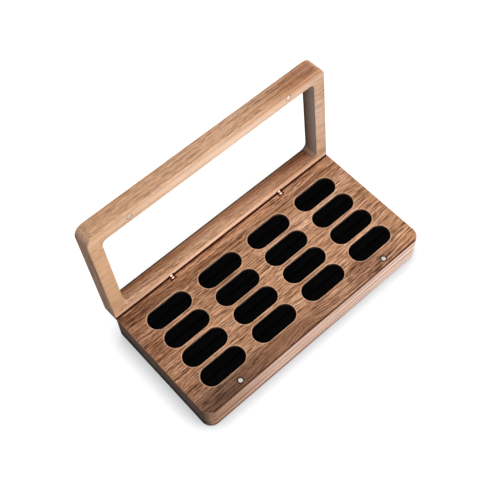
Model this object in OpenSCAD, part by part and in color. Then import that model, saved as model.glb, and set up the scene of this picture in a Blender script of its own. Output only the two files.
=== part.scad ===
// Ring display box: a walnut tray milled with oblong pockets, and a windowed walnut lid.
// Each pocket holds two velvet-covered foam pads with a slit between them for the ring.
// The lid swings on two press-in pin hinges, is kept shut by two pairs of magnets,
// and stands open with its back edge resting on the back face of the tray.
// Origin: centre of the underside. +X along the hinge line, -Y is the front, +Z is up.

/* [Box] */
// Outside length of the box, along the hinge line
body_l = 180; // [176:1:200]
// Outside depth of the box, front to back
body_d = 86; // [82:1:96]
// Height of the tray
base_h = 22; // [20:0.5:28]
// Thickness of the lid
lid_t = 12.6; // [10:0.2:16]
// Radius of the two front corners
corner_r = 7; // [4:0.5:9]
// Width of the eased edges of tray and lid
edge_ease = 0.5; // [0.4:0.1:0.8]
// Gap left between lid and tray when the box is shut
closing_gap = 0.15; // [0.1:0.05:0.3]

/* [Pockets] */
// Number of pockets side by side
columns = 4; // [1:1:4]
// Number of pockets from back to front
rows = 4; // [1:1:4]
// Length of a pocket
pocket_l = 32; // [24:1:34]
// Width of a pocket
pocket_w = 14; // [10:0.5:15]
// Wood left under a pocket
pocket_floor = 4.5; // [2.5:0.5:6]
// Wood left between two pockets side by side
column_gap = 9.3; // [6:0.1:11]
// Wood left between a pocket and the one in front of it
row_gap = 2.7; // [2:0.1:3.2]
// How far the pockets sit behind the middle of the tray
pocket_shift = 0.6; // [0:0.1:1]

/* [Pads] */
// Gap between a pad and the pocket wall
pad_clear = 0.15; // [0.05:0.05:0.4]
// Width of the slit between the two pads of a pocket
pad_slit = 0.8; // [0.4:0.1:1.5]
// How far the pads stop below the top of the tray
pad_recess = 1; // [0.5:0.1:2]

/* [Lid window] */
// Width of the two end rails of the lid
end_rail_w = 9.1; // [8.5:0.1:14]
// Width of the front rail of the lid
front_rail_w = 9; // [7.5:0.1:14]
// Width of the back rail of the lid
back_rail_w = 7.3; // [7:0.1:12]
// Corner radius of the window
window_r = 3.5; // [2:0.5:6]
// Width of the ledge that the pane lies on
ledge_w = 1.5; // [1:0.1:2]
// Thickness of the pane
pane_t = 3; // [2:0.5:4]
// How far the pane lies below the outside of the lid
pane_recess = 0.6; // [0.2:0.1:1.5]
// Gap between the edge of the pane and the lid
pane_clear = 0.2; // [0.05:0.05:0.4]

/* [Magnets] */
// Diameter of a magnet
magnet_d = 3; // [2:0.5:4]
// Height of a magnet
magnet_h = 2; // [1:0.5:3]
// Distance from the middle of a magnet to the end of the box
magnet_from_end = 29.6; // [20:0.2:40]
// Distance from the middle of a magnet to the front of the box
magnet_from_front = 4.7; // [4:0.1:6]
// How far a magnet lies below the face around it
magnet_recess = 0.05; // [0.02:0.01:0.2]
// Glue gap around a magnet
glue_gap = 0.05; // [0.02:0.01:0.1]

/* [Hinges] */
// Angle of the lid when it stands open
open_angle = 95; // [92:1:100]
// Distance from the middle of a hinge to the end of the box
hinge_from_end = 44; // [30:1:60]
// Depth of the hinge pin below the top of the tray
pin_drop = 0.9; // [0.8:0.1:1.1]
// Gap between the standing lid's back edge and the back of the tray
stop_gap = 0.12; // [0.06:0.02:0.3]
// Diameter of the hinge pin
pin_d = 0.9; // [0.8:0.1:1.2]
// Radial clearance of the pin in the eye and the ears
pin_clear = 0.03; // [0.02:0.01:0.06]
// Diameter of the eye and the ears around the pin
knuckle_d = 3; // [2.8:0.1:3.4]
// Thickness of the eye on the lid's half
eye_t = 1.5; // [1.2:0.1:2]
// Thickness of each ear on the tray's half
ear_t = 1.2; // [0.8:0.1:1.6]
// Gap between the eye and each ear
ear_gap = 0.05; // [0.03:0.01:0.1]
// Diameter of the stems that are pressed into the wood
stem_d = 1.6; // [1.4:0.1:1.8]
// Length of the stem in the tray
tray_stem_l = 5.5; // [4:0.5:6]
// Length of the stem in the lid
lid_stem_l = 4.5; // [3:0.5:4.5]
// Height of the barbs on a stem
barb_h = 0.15; // [0.1:0.05:0.2]
// Number of barbs on a stem
barbs = 4; // [2:1:5]
// Room around the hinge in its well
well_gap = 0.3; // [0.2:0.05:0.4]

/* [Hidden] */
$fn = 48;
side_names = ["left", "right"];
half_names = ["back", "front"];
column_names = "abcd";

walnut = [0.58, 0.41, 0.30];
pale_walnut = [0.74, 0.55, 0.42];
clear_pane = [0.88, 0.93, 0.95, 0.35];
nickel = [0.82, 0.81, 0.79];
brass = [0.73, 0.46, 0.30];
velvet = [0.06, 0.06, 0.07];

// Shut lid: underside height
lid_z = base_h + closing_gap;

// The standing lid touches down at the foot of its eased back edge. The pin is set in from
// the back face so that this line comes to stop_gap behind the tray.
pin_to_lid = pin_drop + closing_gap;
pin_inset = (pin_to_lid * sin(open_angle) - edge_ease * cos(open_angle) - stop_gap)
    / (1 - cos(open_angle));
pin_y = body_d / 2 - pin_inset;
pin_z = base_h - pin_drop;

// The stems leave the back corner at 45 degrees, down into the tray and up into the shut lid
to_tray = 135;
to_lid = 45;
knuckle_l = eye_t + 2 * ear_gap + 2 * ear_t;
neck_w = stem_d;
neck_l = knuckle_d / 2 + well_gap + 0.2;
arm_w = stem_d + 0.4;
bridge_start = knuckle_d / 2 + well_gap;
bridge_t = 0.9;
tray_stem_start = bridge_start + bridge_t;
bore_d = stem_d + 2 * barb_h + 0.06;
bore_spare = 0.3;
channel_gap = well_gap / 2;
well_l = knuckle_l + 2 * well_gap;
well_reach = tray_stem_start + channel_gap;

pocket_depth = base_h - pocket_floor;
pad_h = pocket_depth - pad_recess;
column_pitch = pocket_l + column_gap;
row_pitch = pocket_w + row_gap;

window_x = body_l / 2 - end_rail_w;
window_front = -body_d / 2 + front_rail_w;
window_back = body_d / 2 - back_rail_w;
pane_z = lid_z + lid_t - pane_recess - pane_t;

magnet_x = body_l / 2 - magnet_from_end;
magnet_y = -body_d / 2 + magnet_from_front;
hinge_x = body_l / 2 - hinge_from_end;
through = 1;

function pad_name(c, r, half) = str("pad_", column_names[c], r + 1, "_", half);
function side_sign(side) = side == "left" ? -1 : 1;

// Places its children, made in the shut position, on the standing lid
module stand_open() {
    translate([0, pin_y, pin_z])
        rotate([-open_angle, 0, 0])
            translate([0, -pin_y, -pin_z])
                children();
}

// Plan of tray and lid, drawn in by a margin: square back corners, round front corners
module plan_points(margin) {
    for (side = [-1, 1])
        translate([side * (body_l / 2 - corner_r), -body_d / 2 + corner_r])
            circle(corner_r - margin);
    translate([-body_l / 2 + margin, body_d / 2 - margin - 1])
        square([body_l - 2 * margin, 1]);
}

// A board with that plan and all its long edges eased
module eased_board(height) {
    hull()
        for (margin = [0, edge_ease])
            translate([0, 0, edge_ease - margin])
                linear_extrude(height - 2 * (edge_ease - margin))
                    plan_points(margin);
}

// Oblong with round ends, centred
module oblong(length, width, height) {
    linear_extrude(height) {
        square([length - width, width], center = true);
        for (end = [-1, 1])
            translate([end * (length - width) / 2, 0])
                circle(d = width);
    }
}

module at_pocket(c, r) {
    translate([
        (c - (columns - 1) / 2) * column_pitch,
        ((rows - 1) / 2 - r) * row_pitch + pocket_shift,
        pocket_floor
    ])
        children();
}

// Window outline, grown by a margin on all sides
module window_outline(margin) {
    radius = window_r + margin;
    left = -window_x - margin;
    front = window_front - margin;
    size_x = 2 * (window_x + margin);
    size_y = window_back - window_front + 2 * margin;
    translate([left + radius, front])
        square([size_x - 2 * radius, size_y]);
    translate([left, front + radius])
        square([size_x, size_y - 2 * radius]);
    for (x = [left + radius, left + size_x - radius])
        for (y = [front + radius, front + size_y - radius])
            translate([x, y])
                circle(radius);
}

module magnet_shape(extra, height) {
    cylinder(r = magnet_d / 2 + extra, h = height);
}

module at_hinge(side) {
    translate([side_sign(side) * hinge_x, pin_y, pin_z])
        children();
}

module along_pin(diameter, length) {
    rotate([0, 90, 0])
        cylinder(d = diameter, h = length, center = true);
}

// Bar that runs out from the pin, in the stem's direction
module bar(length, width, start, reach) {
    translate([-length / 2, -width / 2, start])
        cube([length, width, reach]);
}

// Barbed stem, pressed into its bore
module stem(length) {
    pitch = length / (barbs + 1);
    cylinder(d = stem_d, h = length - pitch / 2);
    translate([0, 0, length - pitch / 2])
        cylinder(d1 = stem_d, d2 = stem_d / 2, h = pitch / 2);
    for (i = [1:barbs])
        translate([0, 0, (i - 0.5) * pitch])
            cylinder(d1 = stem_d + 2 * barb_h, d2 = stem_d, h = pitch * 0.6);
}

// Room cut in the wood for both halves of a hinge, and the bores of their stems
module hinge_well() {
    along_pin(knuckle_d + 2 * well_gap, well_l);
    rotate([to_tray, 0, 0]) {
        bar(well_l, arm_w + 2 * channel_gap, 0, well_reach);
        cylinder(d = bore_d, h = tray_stem_start + tray_stem_l + bore_spare);
    }
    rotate([to_lid, 0, 0]) {
        bar(well_l, neck_w + 2 * channel_gap, 0, well_reach);
        cylinder(d = bore_d, h = neck_l + lid_stem_l + bore_spare);
    }
}

module base_tray() {
    color(walnut)
        difference() {
            eased_board(base_h);
            for (c = [0:columns - 1])
                for (r = [0:rows - 1])
                    at_pocket(c, r)
                        oblong(pocket_l, pocket_w, pocket_depth + through);
            for (side = side_names)
                translate([side_sign(side) * magnet_x, magnet_y, base_h - magnet_recess - magnet_h])
                    magnet_shape(glue_gap, magnet_h + through);
            for (side = side_names)
                at_hinge(side)
                    hinge_well();
        }
}

module lid_frame() {
    color(pale_walnut)
        stand_open()
            difference() {
                translate([0, 0, lid_z])
                    eased_board(lid_t);
                translate([0, 0, lid_z - through])
                    linear_extrude(lid_t + 2 * through)
                        window_outline(0);
                translate([0, 0, pane_z])
                    linear_extrude(pane_t + pane_recess + through)
                        window_outline(ledge_w);
                for (side = side_names)
                    translate([side_sign(side) * magnet_x, magnet_y, lid_z - through])
                        magnet_shape(glue_gap, magnet_recess + magnet_h + through);
                for (side = side_names)
                    at_hinge(side)
                        hinge_well();
            }
}

module window_pane() {
    color(clear_pane)
        stand_open()
            translate([0, 0, pane_z])
                linear_extrude(pane_t)
                    window_outline(ledge_w - pane_clear);
}

module tray_magnet(side) {
    color(nickel)
        translate([side_sign(side) * magnet_x, magnet_y, base_h - magnet_recess - magnet_h])
            magnet_shape(0, magnet_h);
}

module lid_magnet(side) {
    color(nickel)
        stand_open()
            translate([side_sign(side) * magnet_x, magnet_y, lid_z + magnet_recess])
                magnet_shape(0, magnet_h);
}

// Tray half of a hinge: two ears on a bridge, with the stem below
module hinge_fork(side) {
    color(brass)
        at_hinge(side)
            difference() {
                union() {
                    for (ear = [-1, 1])
                        translate([ear * (knuckle_l - ear_t) / 2, 0, 0]) {
                            along_pin(knuckle_d, ear_t);
                            rotate([to_tray, 0, 0])
                                bar(ear_t, arm_w, 0, bridge_start + bridge_t / 2);
                        }
                    rotate([to_tray, 0, 0]) {
                        bar(knuckle_l, arm_w, bridge_start, bridge_t);
                        translate([0, 0, tray_stem_start])
                            stem(tray_stem_l);
                    }
                }
                along_pin(pin_d + 2 * pin_clear, knuckle_l + 2 * through);
            }
}

// Lid half of a hinge: the eye between the ears, with the stem above
module hinge_eye(side) {
    color(brass)
        stand_open()
            at_hinge(side)
                difference() {
                    union() {
                        along_pin(knuckle_d, eye_t);
                        rotate([to_lid, 0, 0]) {
                            bar(eye_t, neck_w, 0, neck_l);
                            translate([0, 0, neck_l])
                                stem(lid_stem_l);
                        }
                    }
                    along_pin(pin_d + 2 * pin_clear, eye_t + 2 * through);
                }
}

module hinge_pin(side) {
    color(brass)
        at_hinge(side)
            along_pin(pin_d, knuckle_l);
}

// Half of a pocket's padding, behind or in front of the slit
module pad(c, r, half) {
    pad_l = pocket_l - 2 * pad_clear;
    pad_w = pocket_w - 2 * pad_clear;
    color(velvet)
        at_pocket(c, r)
            intersection() {
                oblong(pad_l, pad_w, pad_h);
                translate([-pad_l, half == "back" ? pad_slit / 2 : -pad_slit / 2 - pad_w, 0])
                    cube([2 * pad_l, pad_w, pad_h]);
            }
}

base_tray();
lid_frame();
window_pane();
for (side = side_names) {
    tray_magnet(side);
    lid_magnet(side);
    hinge_fork(side);
    hinge_eye(side);
    hinge_pin(side);
}
for (c = [0:columns - 1])
    for (r = [0:rows - 1])
        for (half = half_names)
            pad(c, r, half);
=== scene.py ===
import math
from functools import partial, reduce

import bmesh
import bpy
import numpy as np
from mathutils import Matrix, Vector, noise


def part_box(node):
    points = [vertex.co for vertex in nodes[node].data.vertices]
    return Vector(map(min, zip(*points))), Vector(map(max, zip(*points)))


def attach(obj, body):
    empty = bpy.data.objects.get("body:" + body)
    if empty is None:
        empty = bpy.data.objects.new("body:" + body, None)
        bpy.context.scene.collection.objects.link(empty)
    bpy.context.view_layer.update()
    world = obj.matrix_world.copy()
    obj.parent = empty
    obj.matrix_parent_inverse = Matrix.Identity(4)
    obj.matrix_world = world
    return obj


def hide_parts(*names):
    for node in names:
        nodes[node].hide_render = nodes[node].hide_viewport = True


MM = 0.001
WHITE = (1.0, 1.0, 1.0)
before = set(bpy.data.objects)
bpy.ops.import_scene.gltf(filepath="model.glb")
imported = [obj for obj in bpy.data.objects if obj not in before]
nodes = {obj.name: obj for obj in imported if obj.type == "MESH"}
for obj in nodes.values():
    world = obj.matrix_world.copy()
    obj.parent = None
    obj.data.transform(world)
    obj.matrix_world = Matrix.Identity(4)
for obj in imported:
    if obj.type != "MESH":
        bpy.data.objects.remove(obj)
scene = bpy.context.scene
scene.view_settings.view_transform = "Standard"
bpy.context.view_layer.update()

# Sizes of the construction that the visual pieces need, in millimetres
HINGE_X = 46.0
PIN_Y, PIN_Z = 42.10815, 21.1
OPEN_ANGLE = math.radians(95.0)
COLUMN_PITCH, ROW_PITCH = 41.3, 16.7
POCKET_SHIFT = 0.6
POCKET_L, POCKET_W = 32.0, 14.0
POCKET_ROUND = POCKET_W / 2
POCKET_STRAIGHT = POCKET_L / 2 - POCKET_ROUND
POCKET_FLOOR, TRAY_TOP = 4.5, 22.0
POCKET_DEPTH = TRAY_TOP - POCKET_FLOOR
MAGNET_X, MAGNET_Y, MAGNET_R = 60.4, -38.3, 1.5


# ---------------------------------------------------------------- shader helpers
class Graph:
    """Short calls that add nodes to one material or world."""

    def __init__(self, block, output="ShaderNodeOutputMaterial"):
        self.block = block
        block.use_nodes = True
        self.tree = block.node_tree
        self.tree.nodes.clear()
        self.output = self.tree.nodes.new(output)

    def node(self, kind, settings=None, **inputs):
        """Adds a node. The inputs go by the names of its sockets, with _ for a space."""
        made = self.tree.nodes.new(kind)
        for key, value in (settings or {}).items():
            setattr(made, key, value)
        for key, value in inputs.items():
            self.plug(made, key.replace("_", " "), value)
        return made

    def plug(self, made, key, value):
        """Links or sets the input with that name or number."""
        socket = made.inputs[key]
        if isinstance(value, bpy.types.NodeSocket):
            self.tree.links.new(value, socket)
        elif socket.type == "RGBA":
            socket.default_value = (*value, 1.0)
        else:
            socket.default_value = value

    def math(self, operation, a, b=0.0, clamp=False):
        made = self.node("ShaderNodeMath", {"operation": operation, "use_clamp": clamp})
        self.plug(made, 0, a)
        self.plug(made, 1, b)
        return made.outputs[0]

    def add(self, *values):
        return reduce(partial(self.math, "ADD"), values)

    def less(self, a, b):
        return self.math("SUBTRACT", a, b)

    def times(self, *values):
        return reduce(partial(self.math, "MULTIPLY"), values)

    def largest(self, *values):
        return reduce(partial(self.math, "MAXIMUM"), values)

    def absolute(self, value):
        return self.math("ABSOLUTE", value)

    def square(self, value):
        return self.math("POWER", value, 2.0)

    def weighed(self, *parts):
        """Sum of values, each times its weight."""
        return self.add(*(self.times(value, weight) for value, weight in parts))

    def sway(self, pattern, reach):
        """A pattern that ran from 0 to 1, swinging about 0 instead."""
        return self.times(self.less(pattern, 0.5), reach)

    def span(self, value, low, high, to_low=0.0, to_high=1.0, smooth=True):
        """value's way from low to high, as to_low to to_high."""
        made = self.node(
            "ShaderNodeMapRange",
            {"interpolation_type": "SMOOTHSTEP" if smooth else "LINEAR", "clamp": True},
            Value=value,
            From_Min=low,
            From_Max=high,
            To_Min=to_low,
            To_Max=to_high,
        )
        return made.outputs[0]

    def place(self):
        """Place on the piece, in millimetres."""
        spot = self.node("ShaderNodeTexCoord").outputs["Object"]
        made = self.node("ShaderNodeVectorMath", {"operation": "SCALE"}, Scale=1.0 / MM)
        self.plug(made, 0, spot)
        return made.outputs[0]

    def stretch(self, vector, rate, shift=(0.0, 0.0, 0.0)):
        return self.node("ShaderNodeMapping", Vector=vector, Scale=rate, Location=shift).outputs[0]

    def noise(self, vector, rate, detail, roughness, shift=(0.0, 0.0, 0.0), distortion=0.0):
        """Cloudy pattern from 0 to 1. rate is clouds to a millimetre, each way."""
        made = self.node(
            "ShaderNodeTexNoise",
            Vector=self.stretch(vector, rate, shift),
            Scale=1.0,
            Detail=detail,
            Roughness=roughness,
            Distortion=distortion,
        )
        return made.outputs["Fac"]

    def dashes(self, vector, rate, shift, core, edge):
        """Lines along X, rate of them to a millimetre: 1 inside one, 0 away from it."""
        along, across = rate
        spots = self.stretch(vector, (along, across, across), shift)
        made = self.node("ShaderNodeTexVoronoi", Vector=spots, Scale=1.0)
        return self.span(made.outputs["Distance"], edge, core)

    def mix(self, share, a, b, blend="MIX"):
        made = self.node(
            "ShaderNodeMix", {"data_type": "RGBA", "blend_type": blend, "clamp_factor": True}
        )
        for index, value in ((0, share), (6, a), (7, b)):
            self.plug(made, index, value)
        return made.outputs[2]

    def either(self, share, first, second):
        """The first shader where share is 0, and the second where it is 1."""
        made = self.node("ShaderNodeMixShader", Fac=share)
        self.plug(made, 1, first)
        self.plug(made, 2, second)
        return made.outputs[0]

    def ramp(self, value, stops):
        made = self.node("ShaderNodeValToRGB", Fac=value)
        elements = made.color_ramp.elements
        while len(elements) < len(stops):
            elements.new(0.5)
        for element, (place, colour) in zip(elements, stops):
            element.position = place
            element.color = (*colour, 1.0)
        return made.outputs[0]

    def split(self, vector):
        return self.node("ShaderNodeSeparateXYZ", Vector=vector).outputs

    def bump(self, height, strength, distance):
        made = self.node("ShaderNodeBump", Height=height, Strength=strength, Distance=distance)
        return made.outputs[0]

    def principled(self, **inputs):
        return self.finish(self.node("ShaderNodeBsdfPrincipled", **inputs).outputs[0])

    def finish(self, shader):
        self.tree.links.new(shader, self.output.inputs["Surface"])
        return self.block


def tinted(colour, *factors):
    """colour times one factor, or times one for each channel."""
    return tuple(c * f for c, f in zip(colour, factors if len(factors) == 3 else factors * 3))


# ---------------------------------------------------------------- walnut
PORE_BROWN = (0.050, 0.012, 0.006)
# Brown of painted shade in the hinge's groove and at the foot of the tray's front; it also paints
# a dark line along the tray's upper front arris
SEAM_BROWN = (0.040, 0.007, 0.004)
# Brown of painted shade on the walls of the pockets
POCKET_SHADE_BROWN = (0.045, 0.018, 0.012)
# Brown of the dark line round each magnet
MAGNET_RING_BROWN = (0.040, 0.016, 0.010)


class Walnut(Graph):
    """Walnut with its grain along X, painted in the millimetres of the shut box.

    Each board gives: stops, the colours from the darkest streak to the palest; front, the
    colour of its front edge, with front_share; end, the colour of its sawn ends; worn_share of
    its arrises; ring_share of the lines round its magnets; swirls as middle, spread and lift;
    patches as middle, spread, share, tint and blend.
    """

    seed = 0.0
    fibre_sway = 6.0  # how far the fibres wander across the board
    patch_sway = (30.0, 8.0)  # how far the borders of the patches stray, along and across

    def __init__(self, name):
        super().__init__(bpy.data.materials.new(name))
        normal = self.node("ShaderNodeTexCoord").outputs["Normal"]
        self.board, facing = self.shut(self.place(), normal)
        self.x, self.y, self.z = self.split(self.board)
        self.nx, self.ny, self.nz = self.split(facing)
        self.grow()
        self.lay()
        self.oil()

    def shut(self, spot, facing):
        """Place and normal as they are on the shut box."""
        return spot, facing

    def blob(self, x, y, middle, spread):
        """1 at the middle of an elliptic spot, falling off smoothly."""
        across = self.math("DIVIDE", self.less(x, middle[0]), spread[0])
        along = self.math("DIVIDE", self.less(y, middle[1]), spread[1])
        far = self.add(self.square(across), self.square(along))
        return self.math("EXPONENT", self.times(far, -1.0))

    def distance(self, across, along):
        return self.math("SQRT", self.add(self.square(across), self.square(along)))

    def paint(self, share, tint, blend="MIX"):
        self.colour = self.mix(share, self.colour, tint, blend)

    def grow(self):
        """Colour of the plain board."""
        seed = self.seed
        # The fibres wander a little, and run round the swirls
        self.wander = self.noise(self.board, (0.008, 0.022, 0.022), 2.0, 0.5, (seed, 0.0, 0.0))
        bent = self.add(self.y, self.sway(self.wander, self.fibre_sway))
        for middle, spread, lift in self.swirls:
            bent = self.less(bent, self.times(self.blob(self.x, self.y, middle, spread), lift))
        depth, loud, tone = self.figure()
        grain = self.node("ShaderNodeCombineXYZ", X=self.x, Y=bent, Z=depth).outputs[0]
        # Four layers of tone, from broad bands to single fibres
        band = self.noise(grain, (0.0045, 0.07, 0.07), 3.0, 0.55, (0.0, seed, 3.0))
        self.wide = self.noise(grain, (0.014, 0.30, 0.30), 3.0, 0.6, (seed, 2.0, 0.0))
        self.streak = self.noise(grain, (0.026, 1.15, 1.15), 2.0, 0.55, (3.0, seed, 1.0))
        self.fibre = self.noise(grain, (0.09, 2.3, 2.3), 2.0, 0.6, (2.0, seed, 4.0))
        layers = ((band, 1.0), (self.wide, 0.50), (self.streak, 1.10), (self.fibre, 1.15))
        for layer, reach in layers:
            tone = self.add(self.times(self.sway(layer, reach), loud), tone)
        self.colour = self.ramp(tone, self.stops)
        # Pores: fine lines, short ones gathered in thin rings, and long ones
        rings = self.noise(grain, (0.055, 0.90, 0.90), 1.0, 0.5, (seed, 5.0, 7.0))
        crowd = self.noise(grain, (0.014, 0.10, 0.10), 2.0, 0.5, (1.0, seed, 7.0))
        rings = self.add(rings, self.span(crowd, 0.35, 0.66, -0.05, 0.05, smooth=False))
        short = self.dashes(grain, (0.10, 2.3), (seed, 5.0, 1.0), 0.34, 0.50)
        short = self.times(short, self.span(rings, 0.45, 0.56))
        long = self.dashes(grain, (0.036, 0.84), (2.0, seed, 5.0), 0.12, 0.25)
        long = self.times(long, self.span(crowd, 0.35, 0.60, 0.75, 1.0))
        self.pore = self.largest(short, long)
        self.fine = self.dashes(grain, (0.20, 3.2), (4.0, 1.0, seed), 0.26, 0.42)
        _, dark_streak = self.stops[1]
        self.paint(self.times(self.fine, loud, 0.70), tinted(dark_streak, 0.22))
        self.paint(self.times(self.pore, loud, 0.95), PORE_BROWN)

    def lay_patches(self):
        """Grey, dark and pale patches where the board has them, with uneven borders."""
        along, across = self.patch_sway
        x = self.add(self.x, self.sway(self.wide, along))
        y = self.add(self.y, self.sway(self.wander, across))
        for middle, spread, share, tint, blend in self.patches:
            self.paint(self.times(self.blob(x, y, middle, spread), share), tint, blend)

    def lay_front(self):
        """The front edge is paler, partly its own colour and partly a painted sheen, with long
        dark lines that crowd towards its foot.
        """
        lines = self.noise(self.board, (0.005, 0.30, 0.62), 3.0, 0.70, (5.0, 0.0, self.seed))
        lines = self.add(lines, self.span(self.z, 12.0, 1.0, 0.0, 0.06))
        dark = tinted(self.front, 0.42, 0.29, 0.23)
        pale = self.front_tint(self.mix(self.span(lines, 0.49, 0.58), self.front, dark))
        self.paint(self.times(self.span(self.ny, -0.55, -0.95), self.front_share), pale)

    def front_tint(self, pale):
        return pale

    def lay_ends(self):
        """The sawn ends are darker, with specks and year rings."""
        speck = self.noise(self.board, (1.0, 1.3, 2.2), 3.0, 0.7)
        arcs = self.noise(self.board, (0.02, 0.05, 0.45), 3.0, 0.6, (0.0, self.seed, 0.0))
        speck = self.span(self.weighed((speck, 0.5), (arcs, 0.5)), 0.40, 0.60)
        dark = self.mix(speck, tinted(self.end, 1.35), tinted(self.end, 0.60))
        self.sawn = self.span(self.absolute(self.nx), 0.55, 0.95)
        self.paint(self.times(self.sawn, 0.92), self.end_tint(dark))

    def worn(self):
        """How much of the wood is rubbed pale: the sanded arrises."""
        level = self.largest(*(self.absolute(part) for part in (self.ny, self.nz, self.nx)))
        return self.times(self.span(level, 0.985, 0.86), self.worn_share)

    def rub(self, share):
        _, palest = self.stops[-1]
        self.paint(share, tuple(min(1.0, c) for c in tinted(palest, 1.15)))

    def lay_rings(self):
        """A dark line round each magnet."""
        away = self.distance(
            self.less(self.absolute(self.x), MAGNET_X), self.less(self.y, MAGNET_Y)
        )
        ring = self.span(away, MAGNET_R + 1.1, MAGNET_R + 0.6)
        ring = self.times(ring, self.span(self.z, 24.0, 23.0), self.span(self.z, 20.0, 21.0))
        self.paint(self.times(ring, self.ring_share), MAGNET_RING_BROWN)

    def oil(self):
        """The oiled surface, with open pores, duller in them and on the sawn ends."""
        height = self.weighed(
            (self.fibre, 0.5), (self.streak, 0.4), (self.pore, -0.9), (self.fine, -0.35)
        )
        dull = self.weighed((self.streak, 0.22), (self.pore, 0.2), (self.sawn, 0.35))
        self.principled(
            Base_Color=self.colour,
            Roughness=self.math("ADD", dull, 0.48, clamp=True),
            Normal=self.bump(height, 0.35, 0.00012),
            Specular_IOR_Level=0.10,
        )


class TrayWalnut(Walnut):
    stops = [
        (0.0, (0.060, 0.022, 0.010)),
        (0.24, (0.175, 0.068, 0.030)),
        (0.50, (0.420, 0.196, 0.098)),
        (0.74, (0.620, 0.330, 0.188)),
        (1.0, (0.830, 0.530, 0.350)),
    ]
    front, front_share = (0.80, 0.565, 0.455), 0.90
    end = (0.105, 0.072, 0.060)
    worn_share, ring_share = 0.10, 0.90
    swirls = [((-6.0, -45.0), (15.0, 10.0), 8.0), ((88.0, -20.0), (22.0, 26.0), 3.0)]
    patches = [
        ((-74.0, -38.0), (33.0, 13.0), 0.94, (0.25, 0.24, 0.26), "MULTIPLY"),
        ((-85.0, 20.0), (14.0, 40.0), 0.84, (0.68, 0.61, 0.58), "MULTIPLY"),
        ((-60.0, 37.0), (26.0, 6.0), 0.52, (0.56, 0.59, 0.60), "MULTIPLY"),
        ((-10.0, -38.0), (34.0, 8.0), 0.60, (0.50, 0.48, 0.50), "MULTIPLY"),
        ((52.0, -34.0), (22.0, 9.0), 0.92, (0.58, 0.53, 0.54), "MULTIPLY"),
        ((60.0, 36.0), (34.0, 6.0), 0.45, (0.66, 0.60, 0.58), "MULTIPLY"),
        ((-35.0, -39.5), (46.0, 5.0), 0.55, (0.62, 0.59, 0.60), "MULTIPLY"),
        ((45.0, 0.0), (48.0, 50.0), 0.60, (1.16, 1.20, 1.26), "MULTIPLY"),
        ((78.0, -36.0), (11.0, 6.0), 0.60, (1.20, 1.22, 1.14), "MULTIPLY"),
        ((-22.0, 0.0), (10.0, 34.0), 0.85, (0.86, 0.79, 0.70), "MULTIPLY"),
    ]

    def figure(self):
        """Depth in the log, strength of the grain and mean tone."""
        calm = self.blob(self.x, self.y, (-35.0, -40.0), (48.0, 6.0))
        return self.z, self.less(1.0, self.times(calm, 0.35)), 0.60

    def front_tint(self, pale):
        """Painted shade towards the left, browner, and painted light towards the right, paler."""
        pale = self.mix(self.span(self.x, -20.0, -92.0), pale, (0.54, 0.42, 0.31), "MULTIPLY")
        return self.mix(self.span(self.x, 10.0, 80.0), pale, (1.12, 1.20, 1.25), "MULTIPLY")

    def end_tint(self, dark):
        """Painted shade, nearly black, at the foot of the left end, fading out towards the right
        end.
        """
        end_foot_shade = self.times(self.span(self.z, 11.0, 4.0), self.span(self.x, 60.0, -60.0))
        return self.mix(end_foot_shade, dark, (0.010, 0.006, 0.005))

    def from_pocket(self):
        """Distance from the outline of the nearest pocket, negative inside it."""

        def to_middle(value, pitch):
            # Four pockets lie on each line, so their cells are numbered from -2 to 1
            number = self.math("FLOOR", self.math("DIVIDE", value, pitch))
            number = self.math("MINIMUM", self.largest(number, -2.0), 1.0)
            return self.less(value, self.times(self.add(number, 0.5), pitch))

        past = self.less(self.absolute(to_middle(self.x, COLUMN_PITCH)), POCKET_STRAIGHT)
        across = to_middle(self.less(self.y, POCKET_SHIFT), ROW_PITCH)
        return self.less(self.distance(self.largest(past, 0.0), across), POCKET_ROUND)

    def lay(self):
        self.lay_patches()
        self.lay_front()
        self.lay_ends()
        # A pale border round each pocket, and painted shade on its wall
        border = self.from_pocket()
        pale = self.span(self.add(border, self.sway(self.streak, 1.2)), 0.95, 0.25)
        pale = self.times(pale, self.span(self.z, 21.0, 21.7), 0.34)
        self.rub(self.largest(self.worn(), pale))
        pocket_shade = self.times(self.span(border, 0.12, -0.05), self.span(self.z, 21.98, 21.7))
        self.paint(self.times(pocket_shade, 0.85), POCKET_SHADE_BROWN)
        # Painted shade in the groove along the hinge and at the foot of the front edge, and a dark
        # line along the front edge's upper arris
        seam = self.times(self.span(self.y, 42.0, 42.3), self.span(self.z, 20.8, 21.3))
        nose = self.times(self.span(self.y, -41.9, -42.4), self.span(self.z, 21.0, 21.4))
        foot = self.times(self.span(self.y, -41.5, -42.0), self.span(self.z, 1.5, 0.6))
        seam = self.largest(seam, self.times(nose, 0.95), self.times(foot, 0.75))
        self.paint(self.times(seam, 0.96), SEAM_BROWN)
        self.lay_rings()


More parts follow.
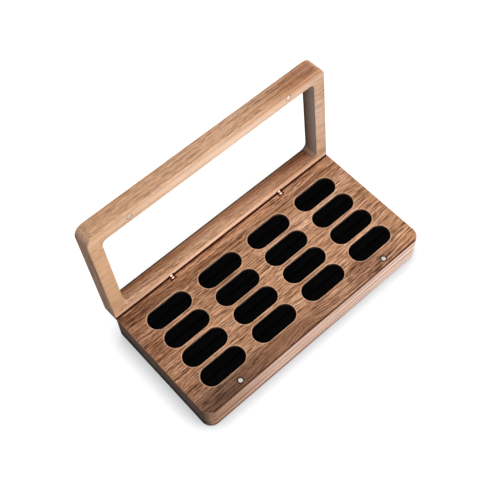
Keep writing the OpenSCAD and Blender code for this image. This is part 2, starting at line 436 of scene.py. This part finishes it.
class LidWalnut(Walnut):
    seed = 9.0
    stops = [
        (0.0, (0.230, 0.092, 0.040)),
        (0.28, (0.420, 0.192, 0.092)),
        (0.50, (0.600, 0.318, 0.165)),
        (0.74, (0.725, 0.430, 0.250)),
        (1.0, (0.850, 0.570, 0.380)),
    ]
    front, front_share = (0.58, 0.32, 0.18), 0.40
    end = (0.36, 0.22, 0.16)
    worn_share, ring_share = 0.20, 0.25
    swirls = [((88.0, -8.0), (12.0, 14.0), 7.0)]
    patches = [
        ((84.0, -43.0), (36.0, 7.0), 0.95, (0.62, 0.40, 0.24), "MULTIPLY"),
        ((64.0, 36.0), (34.0, 2.4), 0.75, (0.72, 0.58, 0.48), "MULTIPLY"),
        ((-80.0, -46.0), (24.0, 4.5), 0.45, (0.74, 0.66, 0.56), "MULTIPLY"),
        ((10.0, -37.5), (85.0, 3.5), 0.75, (0.98, 0.72, 0.56), "MIX"),
        ((0.0, 38.6), (95.0, 1.9), 0.76, (1.0, 0.74, 0.58), "MIX"),
        ((0.0, 38.6), (95.0, 2.6), 1.00, (1.25, 1.14, 1.10), "MULTIPLY"),
        ((84.0, 0.0), (8.0, 34.0), 0.45, (0.66, 0.52, 0.44), "MIX"),
        ((-84.0, 0.0), (8.0, 34.0), 0.40, (0.78, 0.50, 0.32), "MIX"),
    ]
    # Soft borders, outer then inner, of the area that holds the walls of the window
    walls_x, walls_y, end_walls_y = (84.0, 83.5), (38.0, 37.5), (36.6, 36.0)

    def shut(self, spot, facing):
        """The lid's pieces stand open at rest, so both turn back about the pins."""
        pivot = Vector((0.0, PIN_Y, PIN_Z))
        offset = tuple(pivot - Matrix.Rotation(OPEN_ANGLE, 3, "X") @ pivot)
        turn = {"Rotation": (OPEN_ANGLE, 0.0, 0.0)}
        point, vector = {"vector_type": "POINT"}, {"vector_type": "VECTOR"}
        spot = self.node("ShaderNodeMapping", point, Vector=spot, Location=offset, **turn)
        facing = self.node("ShaderNodeMapping", vector, Vector=facing, **turn)
        return spot.outputs[0], facing.outputs[0]

    def within(self, value, borders):
        return self.span(self.absolute(value), *borders)

    def figure(self):
        """Depth in the log, strength of the grain and mean tone."""
        # The window's walls are paler and louder, with lines that run off slowly
        walled = self.times(self.within(self.y, self.walls_y), self.span(self.z, 22.3, 22.6))
        depth = self.add(self.z, self.times(walled, self.x, 0.09))
        # The inner face is calm, less so towards the hinges and the right end
        calm = self.times(
            self.span(self.nz, -0.5, -0.95),
            self.span(self.z, 24.0, 23.0),
            self.span(self.y, 34.5, 33.0, 0.35, 1.0),
            self.span(self.x, 80.0, 82.0, 1.0, 0.55),
        )
        loud = self.add(self.less(1.0, self.times(calm, 0.60)), self.times(walled, 0.35))
        return depth, loud, self.add(self.times(walled, 0.19), 0.62)

    def end_tint(self, dark):
        """The end walls of the window have a colour of their own."""
        cut = self.times(
            self.within(self.y, self.end_walls_y), self.within(self.x, self.walls_x)
        )
        return self.mix(cut, dark, (0.42, 0.34, 0.31))

    def lay_walls(self):
        """Painted shade darkens the window's walls towards the pane, and a black brink of painted
        shade lies at the pane; the walls are also darker to the right.
        """
        wall = self.times(
            self.within(self.y, self.walls_y),
            self.span(self.nz, -0.6, -0.3),
            self.within(self.x, self.walls_x),
        )
        # Painted shade deepening towards the pane
        deep_shade = self.times(self.span(self.z, 23.5, 32.0), wall, 0.95)
        self.paint(deep_shade, (0.44, 0.30, 0.21), "MULTIPLY")
        right = self.times(self.span(self.x, -30.0, 80.0), wall, self.span(self.ny, -0.5, -0.9))
        self.paint(self.times(right, 0.50), (0.66, 0.52, 0.44), "MULTIPLY")
        # A black brink of painted shade at the pane
        brink = self.times(self.span(self.z, 33.2, 33.7), wall, 0.90)
        self.paint(brink, (0.050, 0.020, 0.014))

    def lay(self):
        self.lay_front()
        self.lay_patches()
        self.lay_ends()
        self.lay_walls()
        self.rub(self.worn())
        # Painted shade in the groove along the hinge
        seam = self.times(self.span(self.y, 40.1, 40.5), self.span(self.z, 23.2, 22.5))
        self.paint(self.times(seam, 0.96), SEAM_BROWN)
        self.lay_rings()


# ---------------------------------------------------------------- rigid pieces
NEARLY_FLAT = math.radians(0.4)
SMOOTH_UP_TO = math.radians(34.0)
# Width in millimetres and least angle of the edges that are rounded
BOARD_EDGE, BOARD_ANGLE = 0.28, math.radians(28.0)
DISC_EDGE, PANE_EDGE, FITTING_ANGLE = 0.18, 0.20, math.radians(50.0)
# Half sizes of the box round a hinge, inside which the wood's edges stay as milled
WELL_X, WELL_Y, WELL_Z = 3.6, 9.5, 8.5


def linked(name, data):
    made = bpy.data.objects.new(name, data)
    scene.collection.objects.link(made)
    return made


def softened(name, source, width, angle, segments=3, skip=lambda point: False):
    """A copy of a CAD node whose outer edges are rounded as sanding leaves them."""
    bm = bmesh.new()
    bm.from_mesh(source.data)
    bmesh.ops.remove_doubles(bm, verts=bm.verts, dist=1e-6)
    bmesh.ops.dissolve_limit(
        bm,
        angle_limit=NEARLY_FLAT,
        verts=bm.verts,
        edges=bm.edges,
        use_dissolve_boundaries=False,
    )
    bm.normal_update()
    chosen = [
        e
        for e in bm.edges
        if len(e.link_faces) == 2
        and e.is_convex
        and e.calc_face_angle(0.0) > angle
        and not skip((e.verts[0].co + e.verts[1].co) / 2)
    ]
    bmesh.ops.bevel(
        bm,
        geom=chosen,
        offset=width * MM,
        offset_type="OFFSET",
        segments=segments,
        profile=0.5,
        affect="EDGES",
        clamp_overlap=False,
        miter_outer="SHARP",
    )
    bmesh.ops.triangulate(bm, faces=[f for f in bm.faces if len(f.verts) > 4])
    corners = [v.co[:] for v in bm.verts]
    faces = [[v.index for v in f.verts] for f in bm.faces]
    bm.free()
    mesh = bpy.data.meshes.new(name)
    mesh.from_pydata(corners, [], faces)
    mesh.update()
    mesh.shade_smooth()
    mesh.set_sharp_from_angle(angle=SMOOTH_UP_TO)
    made = linked(name, mesh)
    flat = made.modifiers.new("flat faces stay flat", "WEIGHTED_NORMAL")
    flat.keep_sharp = True
    flat.weight = 80
    return made


def dressed(made, material, body, stands_for):
    """Gives a piece its material, and its place in the frame."""
    made.data.materials.clear()
    made.data.materials.append(material)
    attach(made, body)
    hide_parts(stands_for)


def near_hinge(point):
    x, y, z = (c / MM for c in point)
    return (
        abs(abs(x) - HINGE_X) < WELL_X and abs(y - PIN_Y) < WELL_Y and abs(z - PIN_Z) < WELL_Z
    )


def tray_skip(point):
    x, y, _ = (c / MM for c in point)
    return near_hinge(point) or math.hypot(abs(x) - MAGNET_X, y - MAGNET_Y) < MAGNET_R + 0.3


lid_magnet_spots = [
    [(a + b) / 2 for a, b in zip(*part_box("lid_magnet_" + side))] for side in ("left", "right")
]


def lid_skip(point):
    return near_hinge(point) or any(
        math.dist(point, spot) < (MAGNET_R + 1.1) * MM for spot in lid_magnet_spots
    )


tray_wood = TrayWalnut("walnut_tray").block
lid_wood = LidWalnut("walnut_lid").block
tray = softened("tray_board", nodes["base_tray"], BOARD_EDGE, BOARD_ANGLE, skip=tray_skip)
dressed(tray, tray_wood, "tray", "base_tray")
lid = softened("lid_board", nodes["lid_frame"], BOARD_EDGE, BOARD_ANGLE, skip=lid_skip)
dressed(lid, lid_wood, "lid", "lid_frame")


# ---------------------------------------------------------------- velvet pads
def velvet():
    g = Graph(bpy.data.materials.new("black_velvet"))
    place = g.place()
    nap = g.noise(place, (2.6, 2.6, 2.6), 4.0, 0.7)
    brushed = g.noise(place, (0.12, 0.24, 0.16), 3.0, 0.6, distortion=0.6)
    colour = g.ramp(
        g.weighed((nap, 0.45), (brushed, 0.55)),
        [
            (0.25, (0.0006, 0.0006, 0.0007)),
            (0.55, (0.0014, 0.0014, 0.0017)),
            (0.8, (0.0036, 0.0036, 0.0042)),
        ],
    )
    return g.principled(
        Base_Color=colour,
        Roughness=g.span(nap, 0.2, 0.8, 0.88, 1.0, smooth=False),
        Normal=g.bump(g.weighed((nap, 0.6), (brushed, 0.6)), 0.6, 0.00025),
        Specular_IOR_Level=0.02,
        Sheen_Weight=0.025,
        Sheen_Roughness=0.35,
        Sheen_Tint=(0.30, 0.30, 0.34),
    )


# Room round a pad, width of the slit between two of them and radius of a pad's corners
PAD_CLEAR, SLIT, PAD_CORNER = 0.15, 0.8, 1.3
# Quads of a pad, along and across its pocket
ALONG, ACROSS = 30, 8
# Steps of the outline round a corner and round the pocket's end, and how many make the end
CORNER_STEPS, ROUND_STEPS, END_STEPS = 6, 14, 13


def half_outline(margin):
    """Plan of half an oblong on the side of +Y, drawn in by a margin, from right to left."""
    radius = POCKET_ROUND - PAD_CLEAR - margin
    low = SLIT / 2 + margin + PAD_CORNER

    def arc(cx, cy, r, start, end, count):
        angles = (math.radians(start + (end - start) * i / count) for i in range(count + 1))
        return [(cx + r * math.cos(a), cy + r * math.sin(a)) for a in angles]

    reach = math.sqrt(max((radius - PAD_CORNER) ** 2 - low**2, 0.0))
    meet = math.degrees(math.atan2(low, reach))
    right = arc(POCKET_STRAIGHT + reach, low, PAD_CORNER, -90.0, meet, CORNER_STEPS)
    right += arc(POCKET_STRAIGHT, 0.0, radius, meet, 90.0, ROUND_STEPS)[1:]
    return right + [(-x, y) for x, y in reversed(right)]


def resample(points, count):
    """count equal steps along an open line of points."""
    steps = [0.0]
    for a, b in zip(points, points[1:]):
        steps.append(steps[-1] + math.dist(a, b))
    out, at = [], 0
    for i in range(count + 1):
        goal = steps[-1] * i / count
        while at < len(steps) - 2 and steps[at + 1] < goal:
            at += 1
        share = (goal - steps[at]) / max(steps[at + 1] - steps[at], 1e-9)
        a, b = points[at], points[at + 1]
        out.append((a[0] + (b[0] - a[0]) * share, a[1] + (b[1] - a[1]) * share))
    return out


def pad_grid(margin):
    """Plan grid of a pad: ALONG by ACROSS quads whose rim is the outline."""
    outline = half_outline(margin)
    right, left = outline[: END_STEPS + 1], list(reversed(outline[-END_STEPS - 1:]))
    far = outline[END_STEPS: len(outline) - END_STEPS]
    east, west = resample(right, ACROSS), resample(left, ACROSS)
    north = list(reversed(resample(far, ALONG)))
    south = resample([left[0], right[0]], ALONG)
    grid = []
    for i in range(ALONG + 1):
        u = i / ALONG
        column = []
        for j in range(ACROSS + 1):
            v = j / ACROSS
            x, y = (
                (1 - v) * south[i][k] + v * north[i][k] + (1 - u) * west[j][k] + u * east[j][k]
                - (1 - u) * (1 - v) * south[0][k] - u * (1 - v) * south[-1][k]
                - (1 - u) * v * north[0][k] - u * v * north[-1][k]
                for k in (0, 1)
            )
            column.append((x, y))
        grid.append(column)
    return grid


def pad_mesh(name):
    """Closed pad in plan coordinates of its pocket, Z up from its floor, in millimetres."""
    top = POCKET_DEPTH - 0.65
    # Margin and height of each layer, from the top down
    layers = [(0.9, top), (0.35, top - 0.35), (0.12, top - 1.0), (0.06, top - 2.2)]
    layers += [(0.06, top * share) for share in (0.72, 0.55, 0.38, 0.2)]
    layers += [(0.06, 0.5), (0.5, 0.05)]
    rim = [(i, 0) for i in range(ALONG + 1)]
    rim += [(ALONG, j) for j in range(1, ACROSS + 1)]
    rim += [(i, ACROSS) for i in range(ALONG - 1, -1, -1)]
    rim += [(0, j) for j in range(ACROSS - 1, 0, -1)]
    points, faces = [], []

    def add_points(grid, spots, height):
        """Adds a point for each spot of the grid, and returns their numbers."""
        first = len(points)
        points.extend((*grid[i][j], height) for i, j in spots)
        return range(first, len(points))

    def cap(index, upward):
        for i in range(ALONG):
            for j in range(ACROSS):
                a, b = index[i, j], index[i + 1, j]
                c, d = index[i + 1, j + 1], index[i, j + 1]
                faces.append((a, b, c, d) if upward else (a, d, c, b))

    margin, height = layers[0]
    spots = [(i, j) for i in range(ALONG + 1) for j in range(ACROSS + 1)]
    index = dict(zip(spots, add_points(pad_grid(margin), spots, height)))
    cap(index, upward=True)
    above = [index[spot] for spot in rim]
    for margin, height in layers[1:]:
        grid = pad_grid(margin)
        below = list(add_points(grid, rim, height))
        faces += zip(above, below, below[1:] + below[:1], above[1:] + above[:1])
        above = below
    index = dict(zip(rim, above))
    spots = [(i, j) for i in range(1, ALONG) for j in range(1, ACROSS)]
    index.update(zip(spots, add_points(grid, spots, height)))
    cap(index, upward=False)
    mesh = bpy.data.meshes.new(name)
    mesh.from_pydata(points, [], faces)
    mesh.update()
    return mesh


# Least distances of a pad's points from the wall, the middle of the slit and the tray's top
OFF_WALL, OFF_MIDDLE, OFF_TOP = 0.10, 0.12, 0.12


def room_of_pad(points):
    """Holds points inside the pad's share of its pocket, a hair off all round."""
    out = points.copy()
    over = np.sign(out[:, 0]) * np.maximum(np.abs(out[:, 0]) - POCKET_STRAIGHT, 0.0)
    reach = np.hypot(over, out[:, 1])
    share = np.minimum(1.0, (POCKET_ROUND - OFF_WALL) / np.maximum(reach, 1e-6))
    out[:, 0] = (out[:, 0] - over) + over * share
    out[:, 1] = np.maximum(out[:, 1] * share, OFF_MIDDLE)
    out[:, 2] = np.clip(out[:, 2], 0.0, POCKET_DEPTH - OFF_TOP)
    return out


SCALE_UP = 16.0  # the cloth solver works on a pad as large as a cushion
LAST_FRAME = 20
LONGEST_MOVE = 0.95
# Depth below its top at which a pad begins to be held, and the depth in which it takes hold
FREE_DEPTH, HOLD_OVER = 2.6, 2.5


def stuffed(mesh):
    """Blows the pad up a little as cloth, held where it sits in the pocket."""
    start = np.array([v.co[:] for v in mesh.vertices])
    top = start[:, 2].max()
    big = mesh.copy()
    big.transform(Matrix.Scale(SCALE_UP * MM, 4))
    body = linked("pad_in_work", big)
    held = body.vertex_groups.new(name="held")
    for index, height in enumerate(start[:, 2]):
        share = float(np.clip((top - FREE_DEPTH - height) / HOLD_OVER, 0.0, 1.0))
        held.add([index], share, "REPLACE")
    cloth = body.modifiers.new("stuffing", "CLOTH")
    cloth.settings.vertex_group_mass = "held"
    cloth.settings.quality = 6
    cloth.settings.mass = 0.25
    cloth.settings.use_pressure = True
    cloth.settings.uniform_pressure_force = 4.0
    cloth.settings.tension_stiffness = 12.0
    cloth.settings.compression_stiffness = 12.0
    cloth.settings.bending_stiffness = 0.6
    cloth.settings.effector_weights.gravity = 0.0
    cloth.collision_settings.use_collision = False
    for number in range(1, LAST_FRAME + 1):
        scene.frame_set(number)
    solved = body.evaluated_get(bpy.context.evaluated_depsgraph_get())
    end = np.array([v.co[:] for v in solved.data.vertices]) / (SCALE_UP * MM)
    bpy.data.objects.remove(body)
    bpy.data.meshes.remove(big)
    scene.frame_set(1)
    move = end - start
    length = np.linalg.norm(move, axis=1)
    move *= np.minimum(1.0, LONGEST_MOVE / np.maximum(length, 1e-9))[:, None]
    return start + move


velvet_black = velvet()
pad_form = pad_mesh("pad_form")
pad_points = room_of_pad(stuffed(pad_form))
# Unevenness of the pads: how far up and across, from what height and over how much of it
UNEVEN_UP, UNEVEN_ACROSS, UNEVEN_FROM, UNEVEN_OVER = 0.16, 0.10, 9.0, 6.0


def pad_piece(name, column, row, side, seed):
    """One pad in its pocket. side is 1 behind the slit and -1 in front of it."""
    points = pad_points.copy()
    for index, (x, y, z) in enumerate(points):
        if z > UNEVEN_FROM:
            spot = Vector((x * 0.16 + seed * 7.3, y * 0.30, z * 0.2 + seed))
            share = min(1.0, (z - UNEVEN_FROM) / UNEVEN_OVER)
            points[index, 2] += UNEVEN_UP * noise.noise(spot) * share
            points[index, 1] += UNEVEN_ACROSS * noise.noise(spot + Vector((31.0, 5.0, 2.0)))
    points = room_of_pad(points)
    points[:, 1] *= side
    points[:, 0] += (column - 1.5) * COLUMN_PITCH
    points[:, 1] += (1.5 - row) * ROW_PITCH + POCKET_SHIFT
    points[:, 2] += POCKET_FLOOR
    mesh = pad_form.copy()
    mesh.name = name
    mesh.vertices.foreach_set("co", (points * MM).ravel())
    if side < 0:
        mesh.flip_normals()
    mesh.shade_smooth()
    mesh.update()
    made = linked(name, mesh)
    finer = made.modifiers.new("smooth cloth", "SUBSURF")
    finer.levels = finer.render_levels = 1
    return made


for column, letter in enumerate("abcd"):
    for row in range(4):
        for side, half in ((1, "back"), (-1, "front")):
            pocket = f"{letter}{row + 1}_{half}"
            seed = column * 8 + row * 2 + (side > 0)
            pad = pad_piece(f"velvet_{pocket}", column, row, side, seed)
            dressed(pad, velvet_black, "tray", f"pad_{pocket}")
bpy.data.meshes.remove(pad_form)


# ---------------------------------------------------------------- metal and pane
def metal(name, colour, worn, rough, scale):
    """Bare metal with scuffs, scale of them to a millimetre, and fine scratches."""
    g = Graph(bpy.data.materials.new(name))
    place = g.place()
    scuff = g.noise(place, (scale, scale, scale), 4.0, 0.65)
    scratch = g.noise(place, (5.2, 0.7, 0.9), 3.0, 0.7, distortion=0.4)
    return g.principled(
        Base_Color=g.mix(g.span(scuff, 0.35, 0.75), colour, worn),
        Metallic=1.0,
        Roughness=g.math("ADD", g.times(scratch, 0.22), rough, clamp=True),
        Normal=g.bump(g.add(scratch, scuff), 0.12, 0.00004),
    )


# Brass for the hinges, darkened as painted shade; its paler copy for the eye is a painted
# highlight
reddish_brass = metal("reddish_brass", (0.120, 0.028, 0.014), (0.040, 0.009, 0.005), 0.16, 2.2)
bright_brass = metal("bright_brass", (0.58, 0.38, 0.30), (0.24, 0.09, 0.06), 0.12, 1.2)
tray_nickel = metal("nickel_plate", (0.74, 0.71, 0.67), (0.50, 0.47, 0.44), 0.30, 1.6)
# The lid's nickel is tinted warm as a painted reflection of the wood
lid_nickel_tinted_as_reflection = metal("rubbed_nickel", (0.90, 0.80, 0.70), (0.74, 0.62, 0.52), 0.48, 1.6)

# The hinges show as CAD made them, in one brass: darkened as painted shade, and paler on the eye
# as a painted highlight
for name, node in nodes.items():
    if name.startswith("hinge"):
        node.data.materials.clear()
        node.data.materials.append(bright_brass if "eye" in name else reddish_brass)

for body, nickel in (("tray", tray_nickel), ("lid", lid_nickel_tinted_as_reflection)):
    for side in ("left", "right"):
        magnet = nodes[f"{body}_magnet_{side}"]
        disc = softened(f"{body}_magnet_disc_{side}", magnet, DISC_EDGE, FITTING_ANGLE)
        dressed(disc, nickel, body, f"{body}_magnet_{side}")


MIRRORED = 0.6


def clear_sheet():
    """Clear pane: see-through, with a mirror on it that grows towards grazing looks."""
    g = Graph(bpy.data.materials.new("clear_pane"))
    smear = g.noise(g.place(), (0.014, 0.014, 0.014), 3.0, 0.6, distortion=0.4)
    roughness = g.span(smear, 0.3, 0.7, 0.01, 0.035)
    mirror = g.node("ShaderNodeBsdfGlossy", Color=WHITE, Roughness=roughness)
    through = g.node("ShaderNodeBsdfTransparent", Color=(0.985, 0.992, 0.99))
    edge = g.node("ShaderNodeFresnel", IOR=1.45).outputs[0]
    # Only the outer side of a face mirrors, and less than bare glass
    inside = g.node("ShaderNodeNewGeometry").outputs["Backfacing"]
    share = g.times(edge, g.less(MIRRORED, g.times(inside, MIRRORED)))
    return g.finish(g.either(share, through.outputs[0], mirror.outputs[0]))


pane = softened("pane_sheet", nodes["window_pane"], PANE_EDGE, FITTING_ANGLE, segments=2)
dressed(pane, clear_sheet(), "lid", "window_pane")


# ---------------------------------------------------------------- floor, light, camera
def floor_paper():
    """Pale paper that lights the box as such.

    Seen straight, mirrored or through the pane, its lit part is plain white. It keeps the
    shadow, and a painted contact shadow darkens it close to the box.
    """
    g = Graph(bpy.data.materials.new("pale_floor"))
    tooth = g.noise(g.place(), (0.4, 0.4, 0.4), 3.0, 0.6)
    colour = g.mix(tooth, (0.60, 0.60, 0.60), (0.64, 0.64, 0.64))
    plain = g.node("ShaderNodeBsdfDiffuse", Color=colour)
    rays = g.node("ShaderNodeLightPath").outputs
    seen = g.largest(rays["Is Camera Ray"], rays["Is Glossy Ray"], rays["Is Transmission Ray"])
    # Painted contact shadow: ambient occlusion darkens the floor close to the box
    open_air = g.node("ShaderNodeAmbientOcclusion", {"samples": 8}, Distance=0.013)
    contact_shade = g.mix(open_air.outputs["AO"], (0.16, 0.18, 0.21), WHITE)
    shadow = g.node("ShaderNodeBsdfDiffuse", Color=g.mix(1.0, contact_shade, (0.35, 0.35, 0.35), "MULTIPLY"))
    white = g.node("ShaderNodeEmission", Color=contact_shade, Strength=0.86)
    both = g.node("ShaderNodeAddShader")
    g.plug(both, 0, shadow.outputs[0])
    g.plug(both, 1, white.outputs[0])
    return g.finish(g.either(seen, plain.outputs[0], both.outputs[0]))


FLOOR_REACH = 4.0
floor_mesh = bpy.data.meshes.new("floor")
floor_mesh.from_pydata(
    [(x * FLOOR_REACH, y * FLOOR_REACH, 0) for x, y in ((-1, -1), (1, -1), (1, 1), (-1, 1))],
    [],
    [(0, 1, 2, 3)],
)
floor_mesh.materials.append(floor_paper())
linked("floor", floor_mesh)


def studio(lit, seen):
    """Even light from all round, of one strength for the box and another for the camera."""
    g = Graph(bpy.data.worlds.new("studio"), "ShaderNodeOutputWorld")
    rays = g.node("ShaderNodeLightPath").outputs
    skies = [
        g.node("ShaderNodeBackground", Color=WHITE, Strength=strength).outputs[0]
        for strength in (lit, seen)
    ]
    return g.finish(g.either(rays["Is Camera Ray"], *skies))


scene.world = studio(lit=0.44, seen=1.0)


def softbox(name, place, target, size, watts):
    data = bpy.data.lights.new(name, "AREA")
    data.shape = "RECTANGLE"
    data.size, data.size_y = size
    data.energy = watts
    lamp = linked(name, data)
    lamp.location = place
    lamp.rotation_euler = (Vector(target) - Vector(place)).to_track_quat("-Z", "Y").to_euler()


softbox("key", (0.85, -1.05, 1.05), (0.0, 0.0, 0.03), (1.5, 1.2), 26.0)
softbox("top", (0.3, 0.3, 1.7), (0.0, 0.0, 0.0), (2.2, 2.2), 9.0)

# The camera's place, aim and lens were solved from the edges of the box in the photo
CAMERA_PLACE = (-0.187008, -0.207188, 0.551916)
CAMERA_AHEAD = (0.311949, 0.379152, -0.871167)
CAMERA_UP = (0.592389, 0.639251, 0.490340)
data = bpy.data.cameras.new("camera")
data.sensor_width = 36.0
data.lens = 68.928
camera = linked("camera", data)
scene.camera = camera
ahead = Vector(CAMERA_AHEAD).normalized()
right = ahead.cross(Vector(CAMERA_UP)).normalized()
turn = Matrix((right, right.cross(ahead), -ahead)).transposed().to_4x4()
camera.matrix_world = Matrix.Translation(CAMERA_PLACE) @ turn

bpy.context.view_layer.update()
